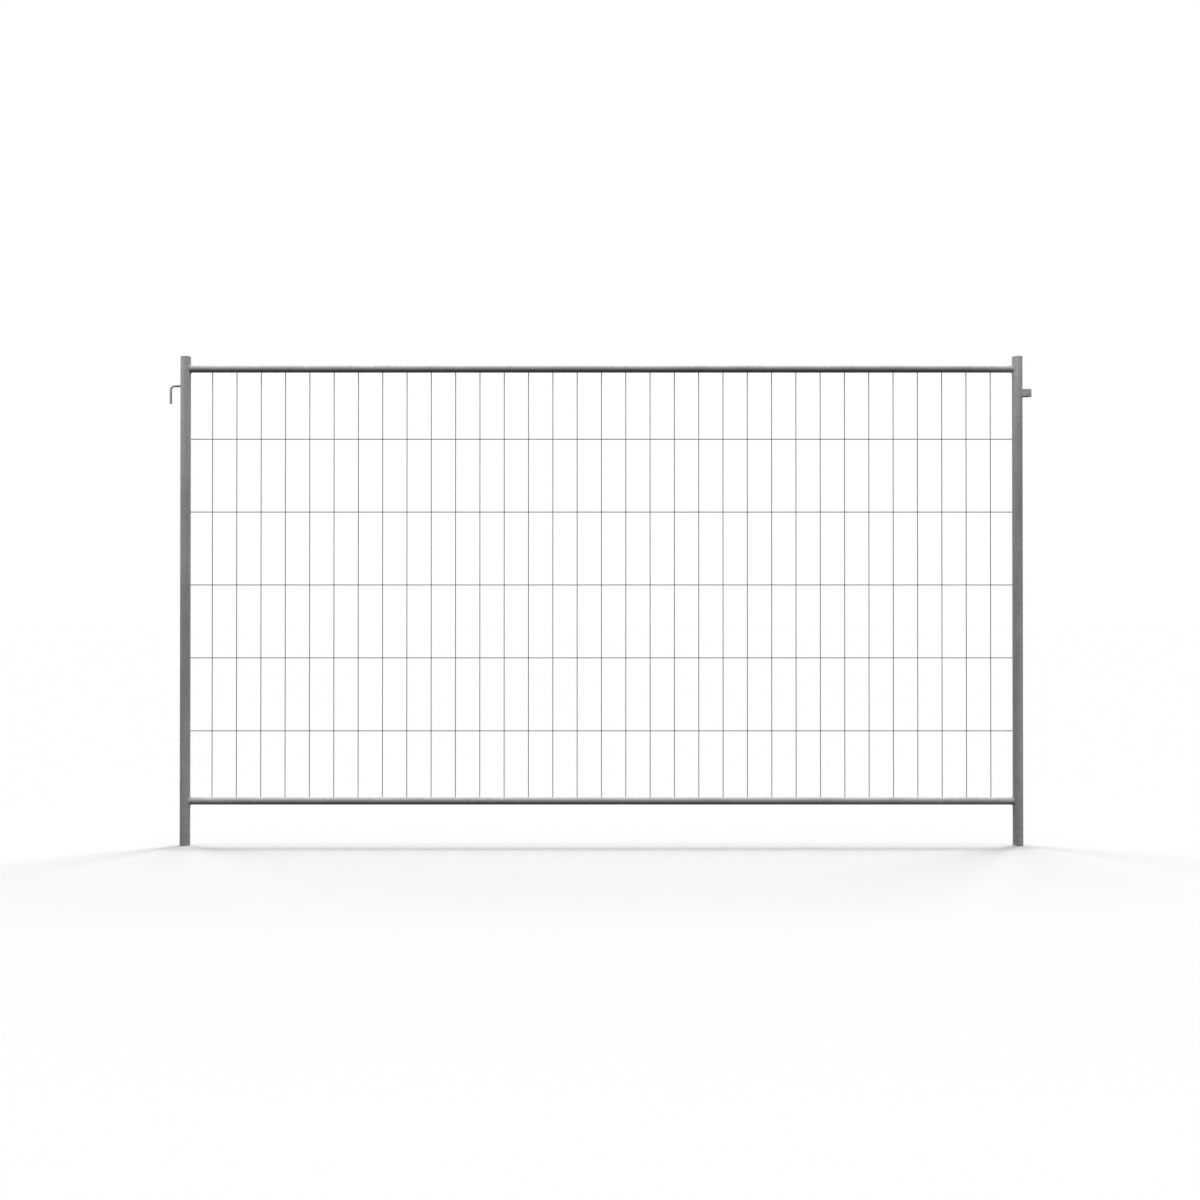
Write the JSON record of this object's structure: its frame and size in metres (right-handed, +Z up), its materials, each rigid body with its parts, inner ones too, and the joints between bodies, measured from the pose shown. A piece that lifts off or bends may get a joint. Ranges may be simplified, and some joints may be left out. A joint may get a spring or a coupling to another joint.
{
  "type": "temporary fence panel",
  "caption": "Building-site fence panel: a tubular frame with a welded wire mesh, open-ended posts that stand in block feet, and a hook and an eye to couple it to its neighbours.",
  "frame": {"origin": "on the ground, midway between the axes of the two posts", "axes": "+X along the panel from the hook to the eye, +Y to the back where the mesh lies, +Z up"},
  "size_m": [3.532, 0.0454, 2],
  "materials": {
    "galvanised_tube": "galvanised, satin",
    "galvanised_fitting": "galvanised, satin",
    "weld_bead": "zinc-coated weld, uneven",
    "galvanised_wire": "galvanised, bright drawn"
  },
  "bodies": {
    "root": {"left_post": "galvanised_tube", "right_post": "galvanised_tube", "top_rail": "galvanised_tube", "bottom_rail": "galvanised_tube", "coupling_hook": "galvanised_fitting", "coupling_eye": "galvanised_fitting", "top_left_weld": "weld_bead", "top_right_weld": "weld_bead", "bottom_left_weld": "weld_bead", "bottom_right_weld": "weld_bead", "hook_weld": "weld_bead", "eye_welds": "weld_bead", "vertical_wire_01": "galvanised_wire", "vertical_wire_02": "galvanised_wire", "vertical_wire_03": "galvanised_wire", "vertical_wire_04": "galvanised_wire", "vertical_wire_05": "galvanised_wire", "vertical_wire_06": "galvanised_wire", "vertical_wire_07": "galvanised_wire", "vertical_wire_08": "galvanised_wire", "vertical_wire_09": "galvanised_wire", "vertical_wire_10": "galvanised_wire", "vertical_wire_11": "galvanised_wire", "vertical_wire_12": "galvanised_wire", "vertical_wire_13": "galvanised_wire", "vertical_wire_14": "galvanised_wire", "vertical_wire_15": "galvanised_wire", "vertical_wire_16": "galvanised_wire", "vertical_wire_17": "galvanised_wire", "vertical_wire_18": "galvanised_wire", "vertical_wire_19": "galvanised_wire", "vertical_wire_20": "galvanised_wire", "vertical_wire_21": "galvanised_wire", "vertical_wire_22": "galvanised_wire", "vertical_wire_23": "galvanised_wire", "vertical_wire_24": "galvanised_wire", "vertical_wire_25": "galvanised_wire", "vertical_wire_26": "galvanised_wire", "vertical_wire_27": "galvanised_wire", "vertical_wire_28": "galvanised_wire", "vertical_wire_29": "galvanised_wire", "vertical_wire_30": "galvanised_wire", "vertical_wire_31": "galvanised_wire", "vertical_wire_32": "galvanised_wire", "vertical_wire_33": "galvanised_wire", "horizontal_wire_1": "galvanised_wire", "horizontal_wire_2": "galvanised_wire", "horizontal_wire_3": "galvanised_wire", "horizontal_wire_4": "galvanised_wire", "horizontal_wire_5": "galvanised_wire"}
  },
  "joints": []
}
